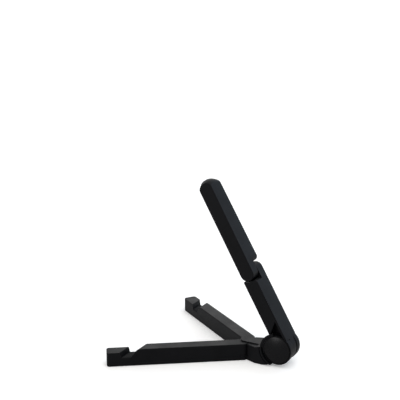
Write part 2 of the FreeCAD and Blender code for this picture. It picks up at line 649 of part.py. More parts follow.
def make_lower_arm():
    arm = part("lower_arm", on_lower_arm)
    edge_x = number("cheek_outer")
    faces = (number("arm_front"), number("arm_back"))
    beam = [("arm_front", "flank_front"), ("arm_back", "flank_back"), ("arm_back", "low_chamber_start"),
            ("arm_front", "low_chamber_start")]
    add(arm, "YZ", "-cheek_outer", "cheek_outer", beam)
    ear = [("arm_front", "flank_back"), ("arm_back", "flank_back"),
           ("arm_back", "elbow_reach", "arm_depth / 2"),
           ("arm_middle", "elbow_reach + arm_depth / 2", "arm_depth / 2"), ("arm_front", "elbow_reach")]
    add(arm, "YZ", "-cheek_outer", "-ear_face", ear)
    # On the right half the shoulder follows the upper arm's round end, up to a lip at the front
    seat = [("arm_front", "flank_back"), ("arm_back", "flank_back"),
            ("arm_back", "shoulder_low - elbow_round"),
            ("arm_back - elbow_round", "shoulder_low"), ("arm_middle", "shoulder_low", "-lap_clear"),
            ("lip_inner", "shoulder_low + elbow_lip"), ("arm_front", "shoulder_low + elbow_lip")]
    add(arm, "YZ", "-ear_face", "cheek_outer", seat)
    flap = box("arm_back - arm_wall", "arm_back", "flap_foot", "flank_back + arm_wall")
    add(arm, "YZ", "-cheek_outer", "cheek_outer", flap)
    round_edges(arm, "arm_edge", lambda edge: along(edge, (0, 0, 1)) and at_corner(edge, edge_x, *faces))
    half_tongue = "tongue_width / 2"
    add(arm, "YZ", f"-{half_tongue}", half_tongue, box("arm_front", "arm_back", "0", "flank_back + arm_wall"))
    add(arm, "YZ", f"-{half_tongue}", half_tongue, ("0", "0", "arm_back"))
    # Hollow beside the tongue, and clear of the cheeks
    hollow = box("arm_front + arm_wall", "arm_back - arm_wall", "flap_foot", "low_chamber_start")
    for low, high in ((half_tongue, "low_chamber_half"), ("-low_chamber_half", f"-{half_tongue}")):
        cut(arm, "YZ", low, high, hollow)
    cut(arm, "YZ", half_tongue, "cheek_outer + over_cut", ("0", "0", "cheek_clear"))
    cut(arm, "YZ", "-cheek_outer - over_cut", f"-{half_tongue}", ("0", "0", "cheek_clear"))
    cut(arm, "YZ", f"-{half_tongue}", half_tongue, ("0", "0", "pin_radius + play"))
    elbow = ("arm_middle", "elbow_reach")
    cut(arm, "YZ", "-cheek_outer", "-ear_face", (*elbow, "pin_radius + play"))
    cut(arm, "YZ", "-cheek_outer", "-elbow_seat", (*elbow, "elbow_head_radius + swing_gap"))
    spots = [("0", "low_chamber_start + boss_inset"), ("0", "low_chamber_end - boss_inset")]
    chamber = ("low_chamber_half", "low_chamber_start", "low_chamber_end", "arm_front")
    make_chamber(arm, *chamber, "arm_back - arm_wall", spots)
    make_arm_cover("lower_arm", on_lower_arm, *chamber, spots)


# Upper arm: half-lap tongue at the elbow on the right half, narrowing to a round tip

def tip_band(inner, outer):
    # Part of a ring round the tip, between its front and its end, drawn as an outline
    corners = {}
    for end, angle in (("last", "135 + tip_pad_sweep / 2"), ("first", "135 - tip_pad_sweep / 2")):
        for ring, radius in (("inner", inner), ("outer", outer)):
            corners[ring, end] = (f"({radius}) * cos({angle})", f"tip_height + ({radius}) * sin({angle})")
    return [(*corners["outer", "first"], f"({outer})"), corners["outer", "last"],
            (*corners["inner", "last"], f"-({inner})"), corners["inner", "first"]]


def make_upper_arm():
    arm = part("upper_arm", on_upper_arm)
    back = "arm_depth / 2"
    add(arm, "YZ", "-cheek_outer", "cheek_outer", box(f"-{back}", back, "lap_clear", "up_length"))
    lap = [(f"-{back}", "0", back), ("0", f"-{back}", back), (back, "0"), (back, "lap_clear"),
           (f"-{back}", "lap_clear")]
    add(arm, "YZ", "lap_face", "cheek_outer", lap)
    # Sides that narrow towards the tip, and the round tip
    wide = "cheek_outer + over_cut"
    for sign in SIDES.values():
        cut(arm, "XZ", f"-{back}", back, [(f"{sign} * cheek_outer", f"-{back}"),
            (f"{sign} * ({wide})", f"-{back}"), (f"{sign} * ({wide})", "up_length"),
            (f"{sign} * tip_width / 2", "up_length")])
    beyond = "up_length + over_cut"
    over = f"{back} + over_cut"
    cut(arm, "YZ", "-cheek_outer", "cheek_outer", [(back, "tip_height", back), ("0", "up_length", back),
        (f"-{back}", "tip_height"), (f"-({over})", "tip_height"), (f"-({over})", beyond), (over, beyond),
        (over, "tip_height")])
    shoulder = number("lap_clear")
    lap_x = number("lap_face")
    least_x = -number("cheek_outer")
    round_edges(arm, "shoulder_round", lambda edge: along(edge, (1, 0, 0)) and edge.Length > lap_x and
                spans(edge, x=(least_x, lap_x), z=(shoulder, shoulder)))
    least = number("up_length") / 2
    round_edges(arm, "upper_edge", lambda edge: edge.Length > least and not along(edge, (1, 0, 0)))
    # Bore for the brass insert, and the rubber pad's recess
    cut(arm, "YZ", "lap_face", "lap_face + insert_length + seam", ("0", "0", "insert_radius + play"))
    half_pad = "tip_pad_width / 2 + seam"
    cut(arm, "YZ", f"-({half_pad})", half_pad, tip_band(f"{back} - tip_pad_sink", f"{back} + over_cut"))
    spots = [("0", "up_chamber_start + boss_inset"), ("0", "up_chamber_end - boss_inset")]
    chamber = ("up_chamber_half", "up_chamber_start", "up_chamber_end", f"-{back}")
    make_chamber(arm, *chamber, f"{back} - arm_wall", spots)
    make_arm_cover("upper_arm", on_upper_arm, *chamber, spots)
    pad = part("tip_pad", on_upper_arm)
    add(pad, "YZ", "-tip_pad_width / 2", "tip_pad_width / 2",
        tip_band(f"{back} - tip_pad_sink", f"{back} + tip_pad_proud"))


# Elbow: bolt from the left, turning in the ear and screwed into a brass insert in the lap

def make_elbow():
    bolt = part("elbow_bolt", on_upper_arm)
    head_face = "-elbow_seat - play"
    head_end = f"{head_face} - elbow_head_thick"
    add(bolt, "YZ", head_end, head_face, ("0", "0", "elbow_head_radius"))
    add(bolt, "YZ", head_face, "lap_face", ("0", "0", "pin_radius"))
    add(bolt, "YZ", "lap_face", "lap_face + insert_length", ("0", "0", "thread_radius"))
    cut(bolt, "YZ", head_end, f"{head_end} + socket_depth", hexagon("0", "0", "socket_radius"))
    insert = part("elbow_insert", on_upper_arm)
    add(insert, "YZ", "lap_face", "lap_face + insert_length", ("0", "0", "insert_radius"),
        ("0", "0", "thread_radius + play"))
    washer = part("elbow_washer", on_upper_arm)
    rims = [("0", "0", "elbow_washer_radius"), ("0", "0", "pin_radius + play")]
    add(washer, "YZ", "-lap_face", "lap_face", *rims)


make_hub()
make_hub_foot()
make_pivot_bolt()
for side_name, side_sign in SIDES.items():
    make_cap(side_name, side_sign)
    make_friction_washer(side_name, side_sign)
    make_leg(side_name, side_sign)
    make_leg_cover(side_name, side_sign)
    make_leg_rubber(side_name, side_sign)
    make_leg_pivot(side_name, side_sign)
make_lower_arm()
make_upper_arm()
make_elbow()

doc.recompute()
for item in doc.Objects:
    if {"Invalid", "Error"} & set(item.State):
        raise RuntimeError(item.Label + " did not recompute")
for item in PARTS:
    if item.Shape.isNull() or not item.Shape.isValid() or not item.Shape.Solids:
        raise RuntimeError(item.Label + " has no sound solid")

os.makedirs("parts", exist_ok=True)
for item in PARTS:
    item.Shape.exportStep(f"parts/{item.Label}.step")
    print(f"{item.Label}: {len(item.Shape.Solids)} solid(s), {item.Shape.Volume:.0f} mm3")
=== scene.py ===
import math

import bmesh
import bpy
import numpy as np
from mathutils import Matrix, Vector
from mathutils.bvhtree import BVHTree


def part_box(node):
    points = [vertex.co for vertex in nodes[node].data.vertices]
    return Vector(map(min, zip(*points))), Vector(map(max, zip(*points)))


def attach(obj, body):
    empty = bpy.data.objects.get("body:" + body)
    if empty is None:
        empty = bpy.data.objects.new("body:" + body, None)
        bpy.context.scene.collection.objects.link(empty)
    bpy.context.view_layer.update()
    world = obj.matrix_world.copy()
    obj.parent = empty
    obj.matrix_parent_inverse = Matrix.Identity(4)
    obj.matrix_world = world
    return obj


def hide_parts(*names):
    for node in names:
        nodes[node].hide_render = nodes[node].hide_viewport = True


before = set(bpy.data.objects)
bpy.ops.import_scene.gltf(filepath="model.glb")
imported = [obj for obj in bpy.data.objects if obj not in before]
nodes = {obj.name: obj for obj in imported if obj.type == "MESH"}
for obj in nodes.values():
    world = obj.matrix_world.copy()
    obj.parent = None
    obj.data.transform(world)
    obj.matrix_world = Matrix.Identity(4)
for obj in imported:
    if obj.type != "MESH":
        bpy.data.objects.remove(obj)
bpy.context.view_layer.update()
scene = bpy.context.scene
sides = ("left", "right")
print("frame loaded,", len(nodes), "nodes")


# Node helpers

def put(tree, kind, **settings):
    node = tree.nodes.new(kind)
    for name, value in settings.items():
        setattr(node, name, value)
    return node


def newTree(name, kind, sockets):
    # sockets: way, label, type, default
    tree = bpy.data.node_groups.new(name, kind)
    for way, label, sort, default in sockets:
        socket = tree.interface.new_socket(label, in_out=way, socket_type=sort)
        if default is not None:
            socket.default_value = default
    return tree, tree.nodes.new("NodeGroupInput"), tree.nodes.new("NodeGroupOutput")


def mathNode(tree, operation, first, second=None):
    # first and second are sockets or plain numbers
    node = put(tree, "ShaderNodeMath", operation=operation)
    for index, value in enumerate((first, second)):
        if value is None:
            continue
        if isinstance(value, (int, float)):
            node.inputs[index].default_value = value
        else:
            tree.links.new(value, node.inputs[index])
    return node.outputs[0]


def noiseAt(tree, place, size, detail):
    # Noise whose features are about as large as size, in metres
    noise = put(tree, "ShaderNodeTexNoise", noise_dimensions="3D")
    tree.links.new(place, noise.inputs["Vector"])
    tree.links.new(mathNode(tree, "DIVIDE", 1.0, size), noise.inputs["Scale"])
    noise.inputs["Detail"].default_value = detail
    noise.inputs["Roughness"].default_value = 0.55
    return noise.outputs[0]


def mapped(tree, value, band, result=(0, 1)):
    # Brings a band of values to the result's two ends, and holds what lies outside
    node = put(tree, "ShaderNodeMapRange", clamp=True)
    tree.links.new(value, node.inputs["Value"])
    for label, number in zip(("From Min", "From Max", "To Min", "To Max"), (*band, *result)):
        node.inputs[label].default_value = number
    return node.outputs[0]


def mixed(tree, factor, first, second):
    # Colours or links to colours, mixed
    node = put(tree, "ShaderNodeMix", data_type="RGBA")
    tree.links.new(factor, node.inputs["Factor"])
    ends = [socket for socket in node.inputs if socket.type == "RGBA"]
    for socket, value in zip(ends, (first, second)):
        if isinstance(value, tuple):
            socket.default_value = (*value, 1)
        else:
            tree.links.new(value, socket)
    return next(socket for socket in node.outputs if socket.type == "RGBA")


# Effects that several finishes share: the bands are the parts of the noise that count

grainNoise = {"detail": 2, "band": (0.3, 0.7)}
toneNoise = {"detail": 3, "band": (0.35, 0.65)}
rubNoise = {"detail": 3, "band": (0.4, 0.68), "least": 0.15}


def makeMouldGrain():
    # Eroded texture of the mould, and slow changes of tone over a moulding
    tree, given, made = newTree("mouldGrain", "ShaderNodeTree", [
        ("INPUT", "Grain Size", "NodeSocketFloat", 0.0005),
        ("INPUT", "Patch Size", "NodeSocketFloat", 0.02),
        ("OUTPUT", "Height", "NodeSocketFloat", None),
        ("OUTPUT", "Tone", "NodeSocketFloat", None)])
    place = put(tree, "ShaderNodeTexCoord").outputs["Object"]
    fine = noiseAt(tree, place, given.outputs["Grain Size"], grainNoise["detail"])
    broad = noiseAt(tree, place, given.outputs["Patch Size"], toneNoise["detail"])
    tree.links.new(mapped(tree, fine, grainNoise["band"]), made.inputs["Height"])
    tree.links.new(mapped(tree, broad, toneNoise["band"]), made.inputs["Tone"])
    return tree


def makeEdgeRub():
    # Where hands and tables polish the corners of a moulding, in patches
    tree, given, made = newTree("edgeRub", "ShaderNodeTree", [
        ("INPUT", "Patch Size", "NodeSocketFloat", 0.006),
        ("INPUT", "Amount", "NodeSocketFloat", 0.6),
        ("OUTPUT", "Mask", "NodeSocketFloat", None)])
    corner = put(tree, "ShaderNodeAttribute", attribute_name="edgeRub")
    place = put(tree, "ShaderNodeTexCoord").outputs["Object"]
    patches = noiseAt(tree, place, given.outputs["Patch Size"], rubNoise["detail"])
    patches = mapped(tree, patches, rubNoise["band"], (rubNoise["least"], 1))
    worn = mathNode(tree, "MULTIPLY", corner.outputs["Fac"], patches)
    tree.links.new(mathNode(tree, "MULTIPLY", worn, given.outputs["Amount"]), made.inputs["Mask"])
    return tree


mouldGrain = makeMouldGrain()
edgeRub = makeEdgeRub()
print("shared effects made")


# Finishes

def newFinish(name):
    finish = bpy.data.materials.new(name)
    finish.use_nodes = True
    tree = finish.node_tree
    tree.nodes.clear()
    surface = put(tree, "ShaderNodeBsdfPrincipled")
    out = put(tree, "ShaderNodeOutputMaterial")
    tree.links.new(surface.outputs[0], out.inputs["Surface"])
    return finish, tree, surface


def effect(tree, group, **values):
    node = put(tree, "ShaderNodeGroup", node_tree=group)
    for label, value in values.items():
        node.inputs[label.replace("_", " ")].default_value = value
    return node


def grained(name, look):
    # Slow tone changes, corners rubbed paler and smoother, and the grain's bump
    finish, tree, surface = newFinish(name)
    grain = effect(tree, mouldGrain, Grain_Size=look["grain"], Patch_Size=look["patch"])
    rub = effect(tree, edgeRub, Patch_Size=look["rubPatch"], Amount=look["rub"])
    shade = mixed(tree, grain.outputs["Tone"], look["dark"], look["light"])
    shade = mixed(tree, rub.outputs["Mask"], shade, look["rubbed"])
    tree.links.new(shade, surface.inputs["Base Color"])
    rough = mapped(tree, grain.outputs["Tone"], (0, 1), look["rough"])
    smoother = mathNode(tree, "MULTIPLY", rub.outputs["Mask"], look["polish"])
    tree.links.new(mathNode(tree, "SUBTRACT", rough, smoother), surface.inputs["Roughness"])
    bump = put(tree, "ShaderNodeBump")
    bump.inputs["Strength"].default_value = 1
    bump.inputs["Distance"].default_value = look["depth"]
    tree.links.new(grain.outputs["Height"], bump.inputs["Height"])
    tree.links.new(bump.outputs[0], surface.inputs["Normal"])
    return finish, surface


def moulded(name, look):
    # Plastic or rubber
    finish, surface = grained(name, look)
    surface.inputs["Specular IOR Level"].default_value = look["gloss"]
    return finish


def turned(name, look):
    # Turned metal, whose grain is its fine tool marks
    finish, surface = grained(name, look)
    surface.inputs["Metallic"].default_value = 1
    return finish


blackPlastic = moulded("blackPlastic", {
    "dark": (0.0027, 0.0028, 0.0034), "light": (0.0037, 0.0038, 0.0045), "rubbed": (0.015, 0.015, 0.016),
    "rough": (0.44, 0.52), "gloss": 0.05, "polish": 0.1,
    "grain": 0.00045, "patch": 0.018, "depth": 0.000012, "rubPatch": 0.007, "rub": 0.5})
capPlastic = moulded("capPlastic", {
    "dark": (0.0016, 0.0016, 0.002), "light": (0.0022, 0.0022, 0.0027), "rubbed": (0.012, 0.012, 0.013),
    "rough": (0.25, 0.3), "gloss": 0.08, "polish": 0.04,
    "grain": 0.0004, "patch": 0.01, "depth": 0.000008, "rubPatch": 0.005, "rub": 0.5})
coverPlastic = moulded("coverPlastic", {
    "dark": (0.0042, 0.0044, 0.0049), "light": (0.0056, 0.0058, 0.0064), "rubbed": (0.017, 0.017, 0.018),
    "rough": (0.52, 0.6), "gloss": 0.052, "polish": 0.1,
    "grain": 0.0007, "patch": 0.014, "depth": 0.00002, "rubPatch": 0.006, "rub": 0.4})
blackRubber = moulded("blackRubber", {
    "dark": (0.009, 0.009, 0.0095), "light": (0.014, 0.014, 0.0145), "rubbed": (0.03, 0.03, 0.03),
    "rough": (0.72, 0.84), "gloss": 0.12, "polish": 0.12,
    "grain": 0.0003, "patch": 0.004, "depth": 0.000015, "rubPatch": 0.002, "rub": 0.7})
whiteNylon = moulded("whiteNylon", {
    "dark": (0.66, 0.64, 0.58), "light": (0.74, 0.72, 0.66), "rubbed": (0.8, 0.78, 0.72),
    "rough": (0.42, 0.52), "gloss": 0.4, "polish": 0.08,
    "grain": 0.0006, "patch": 0.006, "depth": 0.00001, "rubPatch": 0.003, "rub": 0.5})
darkSteel = turned("darkSteel", {
    "dark": (0.075, 0.076, 0.08), "light": (0.12, 0.12, 0.125), "rubbed": (0.32, 0.32, 0.33),
    "rough": (0.3, 0.42), "polish": 0.0,
    "grain": 0.00025, "patch": 0.003, "depth": 0.000006, "rubPatch": 0.002, "rub": 0.7})
brass = turned("brass", {
    "dark": (0.5, 0.34, 0.13), "light": (0.66, 0.47, 0.2), "rubbed": (0.8, 0.62, 0.32),
    "rough": (0.26, 0.36), "polish": 0.0,
    "grain": 0.00025, "patch": 0.003, "depth": 0.000006, "rubPatch": 0.002, "rub": 0.6})
print("finishes made")


# Forms taken from the frame: lengths in metres, angles in degrees

meshing = {"mergeWithin": 1e-6, "onFace": 1e-5, "flatWithin": 0.4, "roundFrom": 32, "sharpFrom": 38}


def mergedCopy(node):
    form = bmesh.new()
    form.from_mesh(nodes[node].data)
    bmesh.ops.remove_doubles(form, verts=form.verts[:], dist=meshing["mergeWithin"])
    return form


def softenEdges(form, edge):
    # Flat faces become whole again, then every sharp corner gets a small round, marked for the rub
    flat = math.radians(meshing["flatWithin"])
    bmesh.ops.dissolve_limit(form, angle_limit=flat, verts=form.verts[:], edges=form.edges[:])
    least = math.radians(meshing["roundFrom"])
    corners = [line for line in form.edges if len(line.link_faces) == 2 and line.calc_face_angle(0) > least]
    plain = BVHTree.FromBMesh(form)
    rounds = bmesh.ops.bevel(form, geom=corners, offset=edge, offset_type="OFFSET", segments=2,
                             profile=0.5, affect="EDGES", clamp_overlap=False, loop_slide=True)
    mark = form.loops.layers.float.new("edgeRub")
    for face in rounds["faces"]:
        for loop in face.loops:
            loop[mark] = 1
    # Where two rounds have no room beside each other, they keep to the plain form
    for vert in form.verts:
        spot, _, _, away = plain.find_nearest(vert.co)
        if away > edge:
            vert.co = spot
    bmesh.ops.dissolve_degenerate(form, dist=meshing["mergeWithin"], edges=form.edges[:])


def asObject(name, form):
    mesh = bpy.data.meshes.new(name)
    form.to_mesh(mesh)
    form.free()
    piece = bpy.data.objects.new(name, mesh)
    scene.collection.objects.link(piece)
    return piece


def settle(piece):
    # Whatever the modifiers make becomes the piece's own plain mesh
    drawn = piece.evaluated_get(bpy.context.evaluated_depsgraph_get())
    mesh = bpy.data.meshes.new_from_object(drawn)
    piece.modifiers.clear()
    piece.data = mesh
    mesh.name = piece.name


def evenShading(piece, sharpFrom=meshing["sharpFrom"]):
    mesh = piece.data
    mesh.polygons.foreach_set("use_smooth", [True] * len(mesh.polygons))
    mesh.set_sharp_from_angle(angle=math.radians(sharpFrom))
    shading = piece.modifiers.new("evenShading", "WEIGHTED_NORMAL")
    shading.keep_sharp = True
    settle(piece)


def fit(piece, body, slotName, *stoodFor):
    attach(piece, body)
    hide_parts(*stoodFor)


def shell(name, node, body, slotName, finish, edge, shaped=None):
    form = mergedCopy(node)
    softenEdges(form, edge)
    if shaped:
        shaped(form)
    piece = asObject(name, form)
    piece.data.materials.append(finish)
    evenShading(piece)
    fit(piece, body, slotName, node)


def middleOf(node):
    low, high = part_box(node)
    return (low + high) / 2


# Hub between the legs, with the caps on its cheeks

hubShell = {"edge": 0.0002, "capEdge": 0.00015}
shell("hubShell", "hub", "hub", "black_plastic", blackPlastic, hubShell["edge"])
for side in sides:
    shell(f"pivotCap_{side}", f"pivot_cap_{side}", "hub", "black_plastic", capPlastic, hubShell["capEdge"])
print("hub made")

# Legs and the covers under them

legShell = {"edge": 0.00022, "coverEdge": 0.00018}
for side in sides:
    body = f"leg_{side}"
    cover = f"leg_cover_{side}"
    shell(f"legShell_{side}", body, body, "black_plastic", blackPlastic, legShell["edge"])
    shell(f"legCover_{side}", cover, body, "black_plastic", coverPlastic, legShell["coverEdge"])
print("legs made")

# Arm in two lengths, with the covers in its front

armShell = {"edge": 0.00022, "coverEdge": 0.00018}
tipCrown = {"lean": 30, "reach": 0.0125, "drop": 0.003, "half": 0.0102,  # half of the tip's width
            "cuts": 11, "longFrom": 0.004, "sidewaysFrom": 0.99}
lean = math.radians(tipCrown["lean"])
armLine = Vector((0, -math.sin(lean), math.cos(lean)))
tipTop = max(vert.co @ armLine for vert in nodes["upper_arm"].data.vertices)


def crownTip(form):
    # The tip falls away a little to both sides, so its end is a dome and not a barrel
    start = tipTop - tipCrown["reach"]
    across = [line for line in form.edges if line.calc_length() > tipCrown["longFrom"]
              and min(vert.co @ armLine for vert in line.verts) > start
              and abs((line.verts[0].co - line.verts[1].co).normalized().x) > tipCrown["sidewaysFrom"]]
    bmesh.ops.subdivide_edges(form, edges=across, cuts=tipCrown["cuts"], use_grid_fill=True)
    for vert in form.verts:
        share = (vert.co @ armLine - start) / tipCrown["reach"]
        if share > 0:
            share = share * share * (3 - 2 * share)
            vert.co -= armLine * tipCrown["drop"] * share * (vert.co.x / tipCrown["half"]) ** 2


for length in ("lower", "upper"):
    body = f"{length}_arm"
    crown = crownTip if length == "upper" else None
    shell(f"{length}ArmShell", body, body, "black_plastic", blackPlastic, armShell["edge"], crown)
    shell(f"{length}ArmCover", f"{body}_cover", body, "black_plastic", coverPlastic, armShell["coverEdge"])
print("arm made")

# Bolts, nut, washers and insert at the joints

jointMetal = {"edge": 0.00012, "washerEdge": 0.00008}
for name, node, body in (("pivotBolt", "pivot_bolt", "hub"), ("pivotNut", "pivot_nut", "hub"),
                         ("elbowBolt", "elbow_bolt", "upper_arm"),
                         ("legScrew_left", "leg_pivot_screw_left", "leg_left"),
                         ("legScrew_right", "leg_pivot_screw_right", "leg_right")):
    shell(name, node, body, "dark_steel", darkSteel, jointMetal["edge"])
for name, node, body in (("frictionRing_left", "friction_washer_left", "hub"),
                         ("frictionRing_right", "friction_washer_right", "hub"),
                         ("legRing_left", "leg_pivot_washer_left", "leg_left"),
                         ("legRing_right", "leg_pivot_washer_right", "leg_right"),
                         ("elbowRing", "elbow_washer", "upper_arm")):
    shell(name, node, body, "nylon", whiteNylon, jointMetal["washerEdge"])
shell("elbowInsert", "elbow_insert", "upper_arm", "brass", brass, jointMetal["washerEdge"])
print("joint metal made")


# Geometry node helpers

def cylinderNode(tree, vertices, radius, depth, fill=1):
    node = put(tree, "GeometryNodeMeshCylinder")
    node.inputs["Vertices"].default_value = vertices
    node.inputs["Fill Segments"].default_value = fill
    tree.links.new(radius, node.inputs["Radius"])
    tree.links.new(depth, node.inputs["Depth"])
    return node.outputs["Mesh"]


def movedUp(tree, shape, height):
    move = put(tree, "GeometryNodeTransform")
    combine = put(tree, "ShaderNodeCombineXYZ")
    tree.links.new(height, combine.inputs["Z"])
    tree.links.new(shape, move.inputs["Geometry"])
    tree.links.new(combine.outputs[0], move.inputs["Translation"])
    return move.outputs[0]


def ended(tree, shape, finish, out):
    # Instances made real, with their finish
    real = put(tree, "GeometryNodeRealizeInstances")
    painted = put(tree, "GeometryNodeSetMaterial")
    tree.links.new(shape, real.inputs[0])
    tree.links.new(real.outputs[0], painted.inputs["Geometry"])
    tree.links.new(finish, painted.inputs["Material"])
    tree.links.new(painted.outputs[0], out)


def grown(piece, tree, values):
    # Runs a tree on the piece, with its inputs set by their identifiers
    modifier = piece.modifiers.new(tree.name, "NODES")
    modifier.node_group = tree
    for item in tree.interface.items_tree:
        if item.in_out == "INPUT" and item.name in values:
            modifier[item.identifier] = values[item.name]
    settle(piece)


# Small screws with a cross recess, one at each spot of the mesh that carries the tree

screwMesh = {"headSides": 40, "headRings": 5, "shankSides": 24, "sharpFrom": 30}


def makeCrossScrews():
    tree, given, made = newTree("crossScrews", "GeometryNodeTree", [
        ("INPUT", "Spots", "NodeSocketGeometry", None),
        ("INPUT", "Head Radius", "NodeSocketFloat", 0.002),
        ("INPUT", "Head Height", "NodeSocketFloat", 0.0009),
        ("INPUT", "Dome", "NodeSocketFloat", 0.0003),
        ("INPUT", "Shank Radius", "NodeSocketFloat", 0.001),
        ("INPUT", "Shank Length", "NodeSocketFloat", 0.0059),
        ("INPUT", "Cross Length", "NodeSocketFloat", 0.0022),
        ("INPUT", "Cross Width", "NodeSocketFloat", 0.0005),
        ("INPUT", "Cross Depth", "NodeSocketFloat", 0.0006),
        ("INPUT", "Seed", "NodeSocketInt", 4),
        ("INPUT", "Finish", "NodeSocketMaterial", None),
        ("OUTPUT", "Screws", "NodeSocketGeometry", None)])
    link = tree.links.new
    value = given.outputs
    # Domed head, its top at the spot
    head = cylinderNode(tree, screwMesh["headSides"], value["Head Radius"], value["Head Height"],
                        screwMesh["headRings"])
    head = movedUp(tree, head, mathNode(tree, "MULTIPLY", value["Head Height"], -0.5))
    place = put(tree, "ShaderNodeSeparateXYZ")
    link(put(tree, "GeometryNodeInputPosition").outputs[0], place.inputs[0])
    across = mathNode(tree, "ADD", mathNode(tree, "POWER", place.outputs["X"], 2.0),
                      mathNode(tree, "POWER", place.outputs["Y"], 2.0))
    share = mathNode(tree, "DIVIDE", across, mathNode(tree, "POWER", value["Head Radius"], 2.0))
    drop = mathNode(tree, "MULTIPLY", mathNode(tree, "MULTIPLY", share, value["Dome"]), -1.0)
    sink = put(tree, "ShaderNodeCombineXYZ")
    link(drop, sink.inputs["Z"])
    dome = put(tree, "GeometryNodeSetPosition")
    link(head, dome.inputs["Geometry"])
    onTop = put(tree, "FunctionNodeCompare", data_type="FLOAT", operation="GREATER_THAN")
    link(place.outputs["Z"], onTop.inputs["A"])
    link(mathNode(tree, "MULTIPLY", value["Head Height"], -0.5), onTop.inputs["B"])
    link(onTop.outputs[0], dome.inputs["Selection"])
    link(sink.outputs[0], dome.inputs["Offset"])
    # Cross recess
    bar = put(tree, "GeometryNodeMeshCube")
    barSize = put(tree, "ShaderNodeCombineXYZ")
    link(value["Cross Length"], barSize.inputs["X"])
    link(value["Cross Width"], barSize.inputs["Y"])
    link(mathNode(tree, "MULTIPLY", value["Cross Depth"], 2.0), barSize.inputs["Z"])
    link(barSize.outputs[0], bar.inputs["Size"])
    otherBar = put(tree, "GeometryNodeTransform")
    link(bar.outputs["Mesh"], otherBar.inputs["Geometry"])
    otherBar.inputs["Rotation"].default_value = (0, 0, math.pi / 2)
    recess = put(tree, "GeometryNodeMeshBoolean", operation="DIFFERENCE", solver="EXACT")
    link(dome.outputs[0], recess.inputs["Mesh 1"])
    link(bar.outputs["Mesh"], recess.inputs["Mesh 2"])
    link(otherBar.outputs[0], recess.inputs["Mesh 2"])
    shank = cylinderNode(tree, screwMesh["shankSides"], value["Shank Radius"], value["Shank Length"])
    halfShank = mathNode(tree, "MULTIPLY", value["Shank Length"], 0.5)
    below = mathNode(tree, "ADD", value["Head Height"], halfShank)
    shank = movedUp(tree, shank, mathNode(tree, "MULTIPLY", below, -1.0))
    screw = put(tree, "GeometryNodeJoinGeometry")
    link(recess.outputs["Mesh"], screw.inputs[0])
    link(shank, screw.inputs[0])
    # Each screw looks out along its spot's axis and has stopped at its own turn
    axis = put(tree, "GeometryNodeInputNamedAttribute", data_type="FLOAT_VECTOR")
    axis.inputs["Name"].default_value = "screwAxis"
    aligned = put(tree, "FunctionNodeAlignRotationToVector", axis="Z")
    link(axis.outputs["Attribute"], aligned.inputs["Vector"])
    anyTurn = put(tree, "FunctionNodeRandomValue", data_type="FLOAT")
    floats = [socket for socket in anyTurn.inputs if socket.type == "VALUE"]
    floats[0].default_value = 0
    floats[1].default_value = math.pi / 2
    link(value["Seed"], anyTurn.inputs["Seed"])
    aboutZ = put(tree, "ShaderNodeCombineXYZ")
    link([socket for socket in anyTurn.outputs if socket.type == "VALUE"][0], aboutZ.inputs["Z"])
    turn = put(tree, "FunctionNodeEulerToRotation")
    link(aboutZ.outputs[0], turn.inputs[0])
    facing = put(tree, "FunctionNodeRotateRotation", rotation_space="LOCAL")
    link(aligned.outputs[0], facing.inputs["Rotation"])
    link(turn.outputs[0], facing.inputs["Rotate By"])
    spread = put(tree, "GeometryNodeInstanceOnPoints")
    link(value["Spots"], spread.inputs["Points"])
    link(screw.outputs[0], spread.inputs["Instance"])
    link(facing.outputs[0], spread.inputs["Rotation"])
    ended(tree, spread.outputs[0], value["Finish"], made.inputs["Screws"])
    return tree


def screwSpots(node):
    # Head centre and outward axis of each screw in a node, from its own solid
    form = mergedCopy(node)
    waiting = set(form.verts)
    spots = []
    while waiting:
        grow = [waiting.pop()]
        island = list(grow)
        while grow:
            for line in grow.pop().link_edges:
                for vert in line.verts:
                    if vert in waiting:
                        waiting.remove(vert)
                        grow.append(vert)
                        island.append(vert)
        points = np.array([vert.co for vert in island])
        centre = points.mean(0)
        axis = np.linalg.svd(points - centre)[2][0]
        height = (points - centre) @ axis
        away = np.linalg.norm(points - centre - np.outer(height, axis), axis=1)
        onRim = away > away.max() - meshing["onFace"]
        if height[onRim].mean() < 0:
            axis, height = -axis, -height
        line = (points - np.outer(height, axis)).mean(0)
        spots.append((Vector(line + axis * height.max()), Vector(axis)))
    form.free()
    return spots


coverScrews = {"Head Radius": 0.002, "Head Height": 0.0009, "Dome": 0.00025,
               "Shank Radius": 0.00099, "Shank Length": 0.0059,
               "Cross Length": 0.0023, "Cross Width": 0.00048, "Cross Depth": 0.00055}
crossScrews = makeCrossScrews()
screwed = {"leg_cover_screws_left": "leg_left", "leg_cover_screws_right": "leg_right",
           "lower_arm_cover_screws": "lower_arm", "upper_arm_cover_screws": "upper_arm"}
for seed, (node, body) in enumerate(screwed.items(), start=3):
    spots = screwSpots(node)
    form = bmesh.new()
    axisLayer = form.verts.layers.float_vector.new("screwAxis")
    for spot, axis in spots:
        form.verts.new(spot)[axisLayer] = axis
    piece = asObject("crossScrews_" + body, form)
    grown(piece, crossScrews, {**coverScrews, "Seed": seed, "Finish": darkSteel})
    evenShading(piece, screwMesh["sharpFrom"])
    fit(piece, body, "dark_steel", node)
print("cover screws made")


# Rubber: a row of ribs across each pad, and round the tip's pad

ribSides = 16


